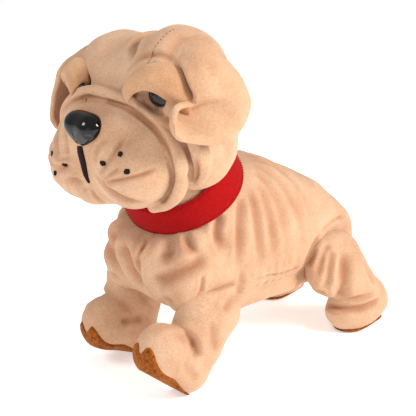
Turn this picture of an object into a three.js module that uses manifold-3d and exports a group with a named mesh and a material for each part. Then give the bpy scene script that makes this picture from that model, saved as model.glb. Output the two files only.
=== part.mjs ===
// A battery-driven walking plush puppy, as an assembly of its separate pieces.
// Millimetres. +X is the puppy's left, -Y is the way its nose points, +Z is up.
// The origin is on the ground, under the middle of the object's box.
import * as THREE from 'three';
import { mergeVertices } from 'three/addons/utils/BufferGeometryUtils.js';
import Module from 'manifold-3d';

const wasm = await Module();
wasm.setup();

// ---------------------------------------------------------------- driving dimensions

const gap = 0.3;                  // between pieces that touch
const runningGap = 0.35;          // radial, around pins and shafts
const pileThickness = 4;          // backed plush cloth

const frontHip = [-61, 68];       // y, z of the front leg pivots
const rearHip = [83, 60];         // y, z of the rear leg pivots
const legSwing = 11;              // degrees either way from the middle of a stride
const restSwing = 9;              // left front foot forward, right front foot back
const hipPinRadius = 2.4;

const wallOuter = 22;             // half the chassis width
const wall = 2;
const frontBottom = 61;
const middleBottom = 64;
const chassisTop = 100;

const toothModule = 0.75;
const pinionTeeth = 8;
const wheelTeeth = 24;
const trainSlopes = [-7, -13, -20];   // degrees below level, crank gear to motor
const gearLayers = [[6, 8.2], [8.8, 11], [11.6, 13.8]];
const crankRadius = 4;
const crankPinRadius = 1.5;
const crankCentre = [-52.5, 86.2];
const linkPinDistance = 10.3;
const linkPinRadius = 1.6;

const neckTilt = 36;              // degrees the neck leans forward
const collarCentre = [0, -42, 138];
const collarHalfWidth = 10;
const neckRadii = [41, 34.5];     // across, and front to back
const neckPivot = [0, -44, 143];
const nodSwing = 8;
const squareness = 2.8;           // of the torso's section: 2 is an ellipse, more is squarer

const tailPivot = [0, 97, 72];

const colours = {
  plush: 0xf4cba8, collar: 0xc71114, pad: 0x9a5a26, black: 0x141312, stuffing: 0xf2f0ea,
  plastic: 0xe9e4d6, gear: 0xf4f1e6, steel: 0xb9bcc0, board: 0x2f6b3a, dark: 0x2b2b2e,
  cell: 0x3c4a58, brass: 0xc9a24a,
};

// ---------------------------------------------------------------- making and cutting

function toSolid(geometry) {
  const bare = geometry.clone();
  bare.deleteAttribute('normal');
  bare.deleteAttribute('uv');
  const merged = mergeVertices(bare, 1e-4);
  const corners = merged.index.array;
  const triVerts = [];
  for (let i = 0; i < corners.length; i += 3) {
    const [a, b, c] = [corners[i], corners[i + 1], corners[i + 2]];
    if (a !== b && b !== c && c !== a) triVerts.push(a, b, c);
  }
  return new wasm.Manifold(new wasm.Mesh({
    numProp: 3,
    vertProperties: new Float32Array(merged.attributes.position.array),
    triVerts: new Uint32Array(triVerts),
  }));
}

function toGeometry(solid) {
  const mesh = solid.getMesh();
  const geometry = new THREE.BufferGeometry();
  geometry.setAttribute('position', new THREE.BufferAttribute(mesh.vertProperties, 3));
  geometry.setIndex(new THREE.BufferAttribute(mesh.triVerts, 1));
  return geometry;
}

function join(...shapes) {
  return toGeometry(shapes.map(toSolid).reduce((sum, next) => sum.add(next)));
}

function cut(shape, ...tools) {
  return toGeometry(tools.map(toSolid).reduce((rest, tool) => rest.subtract(tool), toSolid(shape)));
}

function common(shape, other) {
  return toGeometry(toSolid(shape).intersect(toSolid(other)));
}

function mirrored(geometry) {
  const copy = geometry.clone().scale(-1, 1, 1);
  const flat = copy.index ? copy : mergeVertices(copy);
  const corners = flat.index.array;
  for (let i = 0; i < corners.length; i += 3) {
    [corners[i + 1], corners[i + 2]] = [corners[i + 2], corners[i + 1]];
  }
  return flat;
}

// Turns a shape about an axis through a point; degrees.
function turned(geometry, [x, y, z], axis, degrees) {
  const turn = new THREE.Matrix4().makeRotationAxis(axis, THREE.MathUtils.degToRad(degrees));
  return geometry.clone().translate(-x, -y, -z).applyMatrix4(turn).translate(x, y, z);
}

const alongX = new THREE.Vector3(1, 0, 0);
const alongY = new THREE.Vector3(0, 1, 0);

// The space a piece passes through as it turns between two angles.
function swept(geometry, pivot, axis, from, to, steps = 2) {
  const copies = [];
  for (let i = 0; i <= steps; i++) {
    copies.push(turned(geometry, pivot, axis, from + ((to - from) * i) / steps));
  }
  return join(...copies);
}

// ---------------------------------------------------------------- simple shapes

function block(x0, x1, y0, y1, z0, z1) {
  const shape = new THREE.BoxGeometry(x1 - x0, y1 - y0, z1 - z0);
  return shape.translate((x0 + x1) / 2, (y0 + y1) / 2, (z0 + z1) / 2);
}

// A round bar along X between x0 and x1.
function bar(radius, x0, x1, [y, z], sides = 12) {
  const shape = new THREE.CylinderGeometry(radius, radius, x1 - x0, sides);
  return shape.rotateZ(Math.PI / 2).translate((x0 + x1) / 2, y, z);
}

function ball([x, y, z], [rx, ry, rz], across = 12, down = 7) {
  return new THREE.SphereGeometry(1, across, down).scale(rx, ry, rz).translate(x, y, z);
}

// An outline in the side view (y, z), given thickness from x0 to x1.
function plate(shape, x0, x1, curveSegments = 6) {
  const slab = new THREE.ExtrudeGeometry(shape, { depth: x1 - x0, bevelEnabled: false, curveSegments });
  const sideView = new THREE.Matrix4().set(0, 0, 1, x0, 1, 0, 0, 0, 0, 1, 0, 0, 0, 0, 0, 1);
  return slab.applyMatrix4(sideView);
}

function outline(points) {
  return new THREE.Shape(points.map(([y, z]) => new THREE.Vector2(y, z)));
}

// A bar with round ends in the side view, such as a lever or a link.
function linkOutline([y0, z0], [y1, z1], r0, r1) {
  const along = Math.atan2(z1 - z0, y1 - y0);
  const lean = Math.acos((r0 - r1) / Math.hypot(y1 - y0, z1 - z0));
  const shape = new THREE.Shape();
  shape.absarc(y0, z0, r0, along + lean, along + 2 * Math.PI - lean, false);
  shape.absarc(y1, z1, r1, along - lean, along + lean, false);
  return shape;
}

// A tapered limb with round ends between two points.
function limb(from, to, r0, r1, sides = 10) {
  const start = new THREE.Vector3(...from);
  const run = new THREE.Vector3(...to).sub(start);
  const length = run.length();
  const profile = [];
  const steps = 3;
  for (let i = 0; i <= steps; i++) {
    const a = (Math.PI / 2) * (i / steps - 1);
    profile.push(new THREE.Vector2(i === 0 ? 0 : r0 * Math.cos(a), r0 * Math.sin(a)));
  }
  for (let i = 0; i <= steps; i++) {
    const a = (Math.PI / 2) * (i / steps);
    profile.push(new THREE.Vector2(i === steps ? 0 : r1 * Math.cos(a), length + r1 * Math.sin(a)));
  }
  const shape = new THREE.LatheGeometry(profile, sides);
  const turn = new THREE.Quaternion().setFromUnitVectors(alongY, run.normalize());
  return shape.applyQuaternion(turn).translate(...from);
}

// An upright-sided ring or disc around the leaning neck axis; low and high along it.
function neckTube(rx, ry, low, high, sides = 20) {
  const shape = new THREE.CylinderGeometry(1, 1, high - low, sides).scale(rx, 1, ry);
  shape.translate(0, (low + high) / 2, 0).rotateX(THREE.MathUtils.degToRad(90 + neckTilt));
  return shape.translate(...collarCentre);
}

// ---------------------------------------------------------------- the torso's form

// Stations along the torso: y, height of the centre, half width, half height.
const torsoStations = [
  [-83.5, 94, 0, 0], [-80, 94, 19, 20], [-71, 93, 33, 33], [-57, 92, 43, 42], [-35, 93, 47, 48],
  [-7, 95, 47, 51], [22, 92, 47, 49], [48, 88, 42, 43], [76, 78, 36, 37], [96, 68, 30, 31],
  [111, 62, 22, 23], [119, 61, 13, 14], [122, 61, 0, 0],
];


// Rings of a rounded-square section through the stations, each ring drawn in by inset.
function torsoForm(inset, sides = 16) {
  const profile = torsoStations.map(([y, , , halfHeight], i) => {
    const last = torsoStations.length - 1;
    const end = i === 0 ? inset : i === last ? -inset : 0;
    return new THREE.Vector2(i === 0 || i === last ? 0 : Math.max(halfHeight - inset, 1), y + end);
  });
  const form = new THREE.LatheGeometry(profile, sides);
  const points = form.attributes.position;
  for (let i = 0; i < points.count; i++) {
    const [, centre, halfWidth, halfHeight] = torsoStations[i % torsoStations.length];
    const x = points.getX(i);
    const z = points.getZ(i);
    const radius = Math.hypot(x, z);
    const onAxis = halfHeight === 0 || radius < 1e-6;
    const square = onAxis ? 0 : radius / (Math.abs(x) ** squareness + Math.abs(z) ** squareness)
      ** (1 / squareness);
    points.setX(i, onAxis ? 0 : (x * square * (halfWidth - inset)) / (halfHeight - inset));
    points.setZ(i, z * square + centre);
  }
  return form;
}

// ---------------------------------------------------------------- the assembly

const puppy = new THREE.Group();

function piece(name, geometry, material) {
  const mesh = new THREE.Mesh(geometry, material);
  mesh.name = name;
  puppy.add(mesh);
}

function material(color, roughness, metalness = 0) {
  return new THREE.MeshStandardMaterial({ color, roughness, metalness });
}

const plush = material(colours.plush, 0.95);
const felt = material(colours.collar, 0.95);
const padCloth = material(colours.pad, 0.95);
const glossBlack = material(colours.black, 0.1);
const stuffing = material(colours.stuffing, 1);
const casePlastic = material(colours.plastic, 0.5);
const gearPlastic = material(colours.gear, 0.4);
const steel = material(colours.steel, 0.3, 1);
const boardGreen = material(colours.board, 0.5);
const darkPlastic = material(colours.dark, 0.4);
const cellSleeve = material(colours.cell, 0.35);
const brass = material(colours.brass, 0.35, 1);

const sides = [['left', 1], ['right', -1]];

// Adds a left piece and its mirror image.
function pair(name, geometry, look) {
  piece(`${name}_left`, geometry, look);
  piece(`${name}_right`, mirrored(geometry), look);
}

// ---------------------------------------------------------------- legs

const inHip = ([y, z], [dy, dz]) => [y + dy, z + dz];
const atAngle = (distance, degrees) => {
  const a = THREE.MathUtils.degToRad(degrees);
  return [distance * Math.sin(a), distance * Math.cos(a)];
};

const armLean = THREE.MathUtils.radToDeg(
  Math.atan2(crankCentre[0] - frontHip[0], crankCentre[1] - frontHip[1]),
);
const armLength = Math.hypot(crankCentre[0] - frontHip[0], crankCentre[1] - frontHip[1]);
const corePlate = [24.4, 27.4];       // x of the lever plate beside the chassis
const shinPlate = [33, 38];           // x of the bar inside the leg
const hubRadius = 4.6;
const footX = 40;
const frontAnkle = [-8, -43];           // from the hip
const rearAnkle = [16, -40];

const legHub = (hip, grow) => bar(hubRadius + grow, corePlate[0] - grow, shinPlate[1] + grow, hip);

// The bar inside the leg, from the hip to the ankle, with its hub; grow makes its room.
function shinBar(hip, ankle, grow = 0) {
  const shin = plate(linkOutline(hip, inHip(hip, ankle), hubRadius + grow, 4 + grow),
    shinPlate[0] - grow, shinPlate[1] + grow, 4);
  return join(legHub(hip, grow), shin);
}

const pivotHole = (hip) => bar(hipPinRadius + runningGap, 20, 45, hip);
const leverPlate = (shape) => plate(shape, ...corePlate);
const linkPinAt = (place) => bar(linkPinRadius, corePlate[0], 32, place);

// The front lever has an arm with a window around the crank pin's whole circle. It is drawn in
// the middle of its stride.
function frontCore() {
  const slack = 0.6;
  const sideways = armLength * Math.sin(THREE.MathUtils.degToRad(legSwing));
  const reach = crankRadius + crankPinRadius + slack;
  const border = 3;
  const frame = (across, along) => block(...corePlate, frontHip[0] - across, frontHip[0] + across,
    frontHip[1] + armLength - along, frontHip[1] + armLength + along);
  const arm = block(...corePlate, frontHip[0] - 4, frontHip[0] + 4, frontHip[1],
    frontHip[1] + armLength - reach - 0.5);
  const leaned = (shape) => turned(shape, [0, ...frontHip], alongX, -armLean);
  const solid = join(shinBar(frontHip, frontAnkle), leaned(frame(reach + sideways + border,
    reach + border)), leaned(arm), linkPinAt(inHip(frontHip, atAngle(linkPinDistance, armLean))));
  return cut(solid, leaned(frame(reach + sideways, reach)), pivotHole(frontHip));
}

function rearCore(linkPin) {
  const arm = leverPlate(linkOutline(rearHip, linkPin, hubRadius, 3.2));
  return cut(join(shinBar(rearHip, rearAnkle), arm, linkPinAt(linkPin)), pivotHole(rearHip));
}

// The sole's outline, heel at the origin and toes along +X, with a notch between two toes.
function soleShape(length, halfWidth) {
  const shape = new THREE.Shape();
  const heel = halfWidth * 0.55;
  shape.moveTo(0, -heel);
  shape.quadraticCurveTo(2, -halfWidth, length * 0.35, -halfWidth);
  shape.quadraticCurveTo(length, -halfWidth, length, -halfWidth * 0.45);
  shape.lineTo(length * 0.9, 0);
  shape.lineTo(length, halfWidth * 0.45);
  shape.quadraticCurveTo(length, halfWidth, length * 0.35, halfWidth);
  shape.quadraticCurveTo(2, halfWidth, 0, heel);
  return shape;
}

// A sole pad whose heel edge is at the given y, z; tilt lifts the toes. Toes point along -Y.
function pawPad([heelY, heelZ], tilt, length, halfWidth, thickness) {
  const slab = new THREE.ExtrudeGeometry(soleShape(length, halfWidth),
    { depth: thickness, bevelEnabled: false, curveSegments: 4 });
  slab.rotateZ(-Math.PI / 2).rotateX(-THREE.MathUtils.degToRad(tilt));
  return slab.translate(footX, heelY, heelZ);
}

const padThickness = 4.5;
const halfSole = 16;
const frontHeel = [frontHip[0], frontHip[1] - frontHip[1] / Math.cos((restSwing * Math.PI) / 180)];
const frontSole = { heel: frontHeel, tilt: 29.5, length: 42 };
const rearSole = { heel: [rearHip[0] + 46, 0], tilt: 0, length: 50 };

// Everything below a sole pad's top face, to trim the foot.
function belowPad({ heel, tilt }) {
  const slab = block(-60, 60, -120, 60, -60, padThickness + gap);
  return slab.rotateX(-THREE.MathUtils.degToRad(tilt)).translate(footX, ...heel);
}

function frontPlush() {
  const at = (x, dy, dz) => [x, frontHip[0] + dy, frontHip[1] + dz];
  const form = join(
    ball(at(41, 12, -18), [16.5, 27, 19]),
    limb(at(41, 8, -22), at(40.5, -9, -45), 16.5, 16),
    ball(at(40.5, -27, -39), [16.5, 28.5, 17.5]),
  );
  return cut(form, belowPad(frontSole));
}

function rearPlush() {
  const at = (x, dy, dz) => [x, rearHip[0] + dy, rearHip[1] + dz];
  const form = join(
    ball(at(45, -8, -4), [12, 36, 27]),
    limb(at(42, 0, -16), at(41, 24, -40), 17, 16.5),
    ball(at(40.5, 10, -43), [16.5, 36, 17.5]),
  );
  return cut(form, belowPad(rearSole));
}

function addLeg(side, sign, end) {
  const place = sign > 0 ? (shape) => shape : mirrored;
  const isFront = end === 'front';
  const hip = isFront ? frontHip : rearHip;
  const sole = isFront ? frontSole : rearSole;
  const rest = isFront ? -restSwing * sign : 0;
  const swing = (shape) => turned(shape, [0, ...hip], alongX, rest);
  const linkPin = inHip(rearHip, atAngle(linkPinDistance, armLean + restSwing * sign));
  const core = isFront ? frontCore() : rearCore(linkPin);
  const coreRoom = shinBar(hip, isFront ? frontAnkle : rearAnkle, gap + 0.1);
  const skin = isFront ? frontPlush() : rearPlush();
  const pad = pawPad(sole.heel, sole.tilt, sole.length, halfSole, padThickness);
  piece(`${end}_leg_core_${side}`, place(swing(core)), casePlastic);
  piece(`${end}_leg_plush_${side}`, place(swing(cut(skin, coreRoom))), plush);
  piece(`${end}_paw_pad_${side}`, place(swing(pad)), padCloth);
}

for (const [side, sign] of sides) {
  addLeg(side, sign, 'front');
  addLeg(side, sign, 'rear');
}

// ---------------------------------------------------------------- link rods

for (const [side, sign] of sides) {
  const offset = atAngle(linkPinDistance, armLean + restSwing * sign);
  const front = inHip(frontHip, offset);
  const rear = inHip(rearHip, offset);
  const hole = (at) => bar(linkPinRadius + runningGap, 27, 32, at);
  const rod = cut(plate(linkOutline(front, rear, 3.2, 3.19), 28, 30), hole(front), hole(rear));
  piece(`link_rod_${side}`, sign > 0 ? rod : mirrored(rod), casePlastic);
}

// ---------------------------------------------------------------- chassis

const screwSites = [[-62, 95.5], [62, 91]];
const screwHoleRadius = 1.6;

const chassisOutline = [
  [-66.5, 76], [-63, frontBottom + 3], [-60, frontBottom], [-29, frontBottom], [-29, middleBottom],
  [64, middleBottom], [72, 54], [87, 54], [91.5, 59], [91.5, 74], [78, 88], [58, chassisTop],
  [-64, chassisTop], [-66.5, 97],
];

function insetOutline(points, by) {
  const count = points.length;
  return points.map((point, i) => {
    const before = points[(i + count - 1) % count];
    const after = points[(i + 1) % count];
    const normal = ([y0, z0], [y1, z1]) => {
      const length = Math.hypot(y1 - y0, z1 - z0);
      return [-(z1 - z0) / length, (y1 - y0) / length];
    };
    const [n0, n1] = [normal(before, point), normal(point, after)];
    const share = by / (1 + n0[0] * n1[0] + n0[1] * n1[1]);
    return [point[0] + (n0[0] + n1[0]) * share, point[1] + (n0[1] + n1[1]) * share];
  });
}

function chassisHalf() {
  const shell = plate(outline(chassisOutline), gap / 2, wallOuter);
  const hollow = plate(outline(insetOutline(chassisOutline, wall)), -1, wallOuter - wall);
  const bosses = screwSites.map((site) => bar(3, gap / 2, wallOuter - wall / 2, site, 12));
  const holes = [
    bar(2.2 + runningGap, 10, 30, crankCentre),
    bar(hipPinRadius + gap, 10, 30, frontHip),
    bar(hipPinRadius + gap, 10, 30, rearHip),
    ...screwSites.map((site) => bar(screwHoleRadius, -1, 30, site, 12)),
    new THREE.CylinderGeometry(2.8, 2.8, 10, 16).translate(0, tailPivot[1] - 4, 0)
      .translate(0, 0, tailPivot[2]),
  ];
  return cut(join(cut(shell, hollow), ...bosses), ...holes);
}

piece('chassis_left_shell', chassisHalf(), casePlastic);
piece('chassis_right_shell', mirrored(chassisHalf()), casePlastic);

screwSites.forEach((site, i) => {
  const screw = join(bar(screwHoleRadius - gap, -15, wallOuter + gap + 0.5, site, 12),
    bar(2.8, wallOuter + gap, wallOuter + 1.8, site, 12));
  piece(`chassis_screw_${i === 0 ? 'front' : 'rear'}`, screw, steel);
});

for (const [place, hip] of [['front', frontHip], ['rear', rearHip]]) {
  pair(`${place}_hip_pin`, bar(hipPinRadius, wallOuter - wall - 2, shinPlate[1] - 0.5, hip), steel);
}

// ---------------------------------------------------------------- motor and gear train

const pitchRadius = (teeth) => (toothModule * teeth) / 2;

// Trapezoid teeth, thinned for backlash. Angles run from +Y towards +Z.
function gearOutline(teeth, phase) {
  const pitch = (2 * Math.PI) / teeth;
  const root = pitchRadius(teeth) - toothModule;
  const tip = pitchRadius(teeth) + 0.75 * toothModule;
  const points = [];
  for (let i = 0; i < teeth; i++) {
    const middle = phase + i * pitch;
    for (const [radius, share] of [[root, -0.3], [tip, -0.12], [tip, 0.12], [root, 0.3]]) {
      const a = middle + share * pitch;
      points.push([radius * Math.cos(a), radius * Math.sin(a)]);
    }
  }
  return points;
}

function gear(teeth, layer, [y, z], phase) {
  return plate(outline(gearOutline(teeth, phase)), ...gearLayers[layer]).translate(0, y, z);
}

const trainStep = pitchRadius(pinionTeeth + wheelTeeth);
const trainCentres = [crankCentre];
const trainAngles = trainSlopes.map((slope) => THREE.MathUtils.degToRad(slope));
for (const a of trainAngles) {
  const [y, z] = trainCentres[trainCentres.length - 1];
  trainCentres.push([y + trainStep * Math.cos(a), z + trainStep * Math.sin(a)]);
}
const [, gear2Centre, gear1Centre, motorCentre] = trainCentres;

// In each mesh the pinion's tooth points at the wheel, and the wheel's gap points back.
const halfPitch = Math.PI / wheelTeeth;
const shaftRadius = 1.2;

function compoundGear(centre, wheelLayer, wheelTowards, pinionTowards) {
  const wheel = gear(wheelTeeth, wheelLayer, centre, wheelTowards + halfPitch);
  const pinion = gear(pinionTeeth, wheelLayer + 1, centre, pinionTowards);
  const hub = bar(2.2, gearLayers[wheelLayer][0], gearLayers[wheelLayer + 1][1], centre);
  return join(wheel, pinion, hub, bar(shaftRadius, 3.2, 17.8, centre, 12));
}

piece('compound_gear_1', compoundGear(gear1Centre, 0, trainAngles[2], Math.PI + trainAngles[1]),
  gearPlastic);
piece('compound_gear_2', compoundGear(gear2Centre, 1, trainAngles[1], Math.PI + trainAngles[0]),
  gearPlastic);

const crankShaftRadius = 2.2;
const crankGearBlank = gear(wheelTeeth, 2, crankCentre, trainAngles[0] + halfPitch);
piece('crank_gear', cut(crankGearBlank, bar(crankShaftRadius + gap, 0, 30, crankCentre)), gearPlastic);

function crankShaft() {
  const reach = wallOuter + gap;
  const throwAngle = Math.acos(restSwing / legSwing);
  const ends = sides.map(([, sign]) => {
    const angle = throwAngle + (sign > 0 ? 0 : Math.PI);
    const lean = -THREE.MathUtils.degToRad(armLean);
    const pin = [crankCentre[0] + crankRadius * Math.cos(angle + lean),
      crankCentre[1] + crankRadius * Math.sin(angle + lean)];
    const end = join(bar(6.4, reach, reach + 1.6, crankCentre, 20),
      bar(crankPinRadius, reach + 1, 28.4, pin, 12));
    return sign > 0 ? end : mirrored(end);
  });
  return join(bar(crankShaftRadius, -reach - 1, reach + 1, crankCentre), ...ends);
}

piece('crank_shaft', crankShaft(), steel);

const motorRadius = 10;
const motorFlat = 7.5;
const motorBack = -19.4;
const motorFace = 3;
const motorCan = common(bar(motorRadius, motorBack, motorFace, motorCentre, 24),
  block(-30, 30, motorCentre[0] - 30, motorCentre[0] + 30, motorCentre[1] - motorFlat,
    motorCentre[1] + motorFlat));
piece('motor', join(motorCan, bar(1, motorFace - 1, 9, motorCentre, 12)), steel);
piece('motor_pinion', cut(gear(pinionTeeth, 0, motorCentre, Math.PI + trainAngles[2]),
  bar(1 + gap, 0, 12, motorCentre, 12)), brass);

// Two plates carry the gear shafts; the inner one also carries the motor.
const gearPlateOutline = [
  [-62, 77], [-50, 66], [-10, 66], [-4, 72], [-4, 90], [-20, 97], [-57, 97.5], [-58.5, 91], [-62, 89],
];
for (const [name, x0, x1] of [['inner', 3.4, 4.9], ['outer', 15.2, 16.7]]) {
  const holes = [
    bar(crankShaftRadius + runningGap, 0, 20, crankCentre),
    bar(shaftRadius + runningGap, 0, 20, gear1Centre, 12),
    bar(shaftRadius + runningGap, 0, 20, gear2Centre, 12),
    bar(2, 0, 20, motorCentre, 12),
  ];
  piece(`gearbox_${name}_plate`, cut(plate(outline(gearPlateOutline), x0, x1), ...holes), casePlastic);
}

// ---------------------------------------------------------------- batteries and electronics

const tray = { x: 19.5, y0: -5, y1: 59, z0: 45, z1: 63.6 };
const cellRadius = 7.2;
const cellLength = 50.5;
const cellY = [1, 1 + cellLength];
const cellHeight = tray.z0 + 0.8 + cellRadius;

function alongLength(radius, y0, y1, x, z, segments = 16) {
  return new THREE.CylinderGeometry(radius, radius, y1 - y0, segments).translate(x, (y0 + y1) / 2, z);
}

const screwPost = { y: 55.6, radius: 2.6 };
const trayHollow = block(-tray.x + 1.5, tray.x - 1.5, tray.y0 + 1.5, 53.6, tray.z0 - 1, tray.z1 - 1.6);
const trayBody = cut(block(-tray.x, tray.x, tray.y0, tray.y1, tray.z0, tray.z1), trayHollow,
  new THREE.CylinderGeometry(1.6, 1.6, 12, 12).rotateX(Math.PI / 2)
    .translate(0, screwPost.y, tray.z0 + 4));
piece('battery_tray', trayBody, casePlastic);

for (const [number, x] of [[1, 8.2], [2, -8.2]]) {
  const body = alongLength(cellRadius, cellY[0], cellY[1] - 1, x, cellHeight, 20);
  const cap = alongLength(2.6, cellY[1] - 2, cellY[1], x, cellHeight, 12);
  const cell = join(body, cap);
  piece(`battery_${number}`, number === 1 ? cell : turned(cell, [x, 1 + cellLength / 2, cellHeight],
    new THREE.Vector3(0, 0, 1), 180), cellSleeve);
}

function contactPlate(y, towards) {
  const strip = block(-15, 15, y, y + 0.6, cellHeight - 5, cellHeight + 5);
  const springs = [8.2, -8.2].map((x) => {
    const ends = [y + 0.3, y + 0.3 + towards * 1.7].sort((a, b) => a - b);
    return alongLength(2.4, ends[0], ends[1], x, cellHeight, 10);
  });
  return join(strip, ...springs);
}

piece('battery_contact_front', contactPlate(-2, 1), steel);
piece('battery_contact_rear', contactPlate(52.6, -1).translate(0, 0.3, 0), steel);

const doorPlate = { x: 19, z0: 43, z1: 44.7 };
piece('battery_door', cut(block(-doorPlate.x, doorPlate.x, tray.y0 + 0.5, tray.y1 - 0.5, doorPlate.z0,
  doorPlate.z1), new THREE.CylinderGeometry(1.6, 1.6, 12, 12).rotateX(Math.PI / 2)
  .translate(0, screwPost.y, tray.z0)), casePlastic);

const doorScrew = join(
  new THREE.CylinderGeometry(1.3, 1.3, 8, 12).rotateX(Math.PI / 2).translate(0, 0, 4),
  new THREE.CylinderGeometry(2.6, 2.6, 1.2, 12).rotateX(Math.PI / 2).translate(0, 0, -0.3),
);
piece('battery_door_screw', doorScrew.translate(0, screwPost.y, doorPlate.z0 - gap - 0.3), steel);

const slot = { y: -19, halfTravel: 1.5 };
const switchBox = block(-9, 9, -26, -12, 46, frontBottom - gap);
const switchHollow = block(-7, 7, -24, -14, 44, 56);
piece('power_switch_housing', cut(switchBox, switchHollow), darkPlastic);
piece('power_switch_slider', join(block(-4, 4, slot.y - 4, slot.y + 4, 47.5, 54),
  block(-1.6, 1.6, slot.y - 1.6, slot.y + 1.6, 44, 48)), darkPlastic);

piece('speaker', join(new THREE.CylinderGeometry(14, 10, 4, 24).rotateX(Math.PI / 2).translate(0, 40, 69),
  new THREE.CylinderGeometry(7, 7, 5, 20).rotateX(Math.PI / 2).translate(0, 40, 73)), darkPlastic);
piece('circuit_board', join(block(-17, 17, 8, 60, 84, 85.6), block(-6, 6, 26, 38, 85, 88)), boardGreen);

// ---------------------------------------------------------------- neck and collar

const neckPinRadius = 2;
piece('neck_column', cut(block(-5, 5, neckPivot[1] - 6, neckPivot[1] + 6, chassisTop + gap,
  neckPivot[2] + 6), bar(neckPinRadius + runningGap, -20, 20, neckPivot.slice(1))), casePlastic);
piece('neck_pivot_pin', bar(neckPinRadius, -9.5, 9.5, neckPivot.slice(1)), steel);

const socketLow = 15;
const socketHigh = 19;
function neckSocket() {
  const disc = neckTube(26, 22, socketLow, socketHigh, 24);
  const ear = (x) => {
    const eye = bar(6, x, x + 3, neckPivot.slice(1));
    const strut = block(x, x + 3, neckPivot[1] - 6, neckPivot[1] + 6, neckPivot[2], neckPivot[2] + 14);
    return join(eye, turned(strut, neckPivot, alongX, neckTilt));
  };
  const solid = join(disc, ear(5.5), ear(-8.5));
  return cut(solid, bar(neckPinRadius + runningGap, -20, 20, neckPivot.slice(1)));
}
piece('neck_socket', neckSocket(), casePlastic);

const collarThickness = 2.6;
const [neckX, neckY] = neckRadii;
piece('collar', cut(
  neckTube(neckX + gap + collarThickness, neckY + gap + collarThickness, -collarHalfWidth,
    collarHalfWidth),
  neckTube(neckX + gap, neckY + gap, -20, 20),
), felt);

// ---------------------------------------------------------------- head

const skull = { at: [0, -61, 195], size: [58, 47, 51] };
const muzzle = { at: [0, -91, 178], size: [50, 34, 41] };
const eyeAt = [33, -88, 209];
const eyeRadius = 7.2;
const noseAt = [0, -119.3, 188];
const noseSize = [13.5, 9.7, 10.5];

const bigger = (size, by) => size.map((s) => s + by);

function muzzleForm(by) {
  return join(ball(muzzle.at, bigger(muzzle.size, by), 14, 9),
    ball([27, -86, 160], bigger([27, 27, 24], by), 10, 6),
    ball([-27, -86, 160], bigger([27, 27, 24], by), 10, 6));
}

function skullForm(by) {
  return join(ball(skull.at, bigger(skull.size, by), 14, 9),
    ball([0, -58, 218], bigger([50, 34, 33], by), 12, 6));
}

// The room that the nodding head leaves for the neck and the collar.
const neckRoom = swept(neckTube(neckX + 5, neckY + 5, -60, collarHalfWidth + 2), neckPivot, alongX,
  -nodSwing - 1, nodSwing + 1);
const socketRoom = neckTube(28, 24, 0, socketHigh + gap + 0.2);

const eyePocket = (sign) => join(ball([sign * eyeAt[0], eyeAt[1], eyeAt[2]], [8, 8, 8], 10, 6),
  ball([sign * (eyeAt[0] + 4), eyeAt[1] - 12, eyeAt[2] + 3], [13, 13, 13], 8, 6));
const pockets = sides.map(([, sign]) => eyePocket(sign));

const stuffingSize = bigger(skull.size, -2 * pileThickness);
piece('head_stuffing', cut(ball([skull.at[0], skull.at[1], skull.at[2] + 2], stuffingSize, 12, 8),
  neckRoom, socketRoom, muzzleForm(gap), ...pockets), stuffing);
piece('head_plush', cut(skullForm(0), skullForm(-pileThickness), neckRoom, socketRoom, muzzleForm(gap),
  ...pockets), plush);

const noseRoom = ball(noseAt, bigger(noseSize, gap), 14, 10);
piece('muzzle_plush', cut(muzzleForm(0), neckRoom, socketRoom, noseRoom, ...pockets), plush);
piece('nose', ball(noseAt, noseSize, 14, 10), glossBlack);

pair('eye', ball(eyeAt, [eyeRadius, eyeRadius, eyeRadius], 12, 8), glossBlack);

const browPath = new THREE.CatmullRomCurve3([
  new THREE.Vector3(17, -103, 214), new THREE.Vector3(24, -100, 224), new THREE.Vector3(38, -94, 227),
  new THREE.Vector3(50, -86, 214),
]);

function discShape(radius, segments) {
  const shape = new THREE.Shape();
  shape.absarc(0, 0, radius, 0, 2 * Math.PI, false);
  return new THREE.Shape(shape.getPoints(segments));
}

const browTube = new THREE.ExtrudeGeometry(discShape(4.6, 2), {
  steps: 8, bevelEnabled: false, extrudePath: browPath,
});
pair('brow_fold', cut(browTube, skullForm(gap), muzzleForm(gap),
  ball(eyeAt, [eyeRadius + 1, eyeRadius + 1, eyeRadius + 1], 14, 10)), plush);

// An ear, hanging: drawn flat with its root at the origin, then leaned out and set on the head.
function earForm() {
  const shape = new THREE.Shape();
  shape.moveTo(-13, 0);
  shape.bezierCurveTo(-16, -20, -34, -38, -27, -56);
  shape.bezierCurveTo(-20, -70, 16, -66, 20, -50);
  shape.bezierCurveTo(23, -34, 12, -18, 9, 0);
  const slab = new THREE.ExtrudeGeometry(shape, { depth: 4.5, bevelEnabled: false, curveSegments: 6 });
  slab.applyMatrix4(new THREE.Matrix4().set(0, 0, 1, 0, 1, 0, 0, 0, 0, 1, 0, 0, 0, 0, 0, 1));
  return slab.rotateY(-THREE.MathUtils.degToRad(18)).translate(50.5, -63, 246);
}
pair('ear', cut(earForm(), skullForm(gap)), plush);

// ---------------------------------------------------------------- tail

const tailRodRadius = 2.2;
const tailRodSlack = 0.4;
const tailBend = [0, 119, 72];
const tailTip = [0, 123, 52];

// The bent rod inside the tail: back from its pivot, then down.
function tailRod(slack) {
  const radius = tailRodRadius + slack;
  const front = tailPivot[1] - 8 - slack;
  return join(alongLength(radius, front, tailBend[1], 0, tailBend[2]),
    limb(tailBend, tailTip, radius, radius, 12));
}
const tailCore = tailRod(0);
const tailSkin = limb([0, 120, 69], [0, 123.5, 44], 6, 5.3);
const tailCavity = tailRod(tailRodSlack);
piece('tail_core', tailCore, casePlastic);
piece('tail_plush', cut(tailSkin, tailCavity), plush);

// ---------------------------------------------------------------- torso skin

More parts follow.
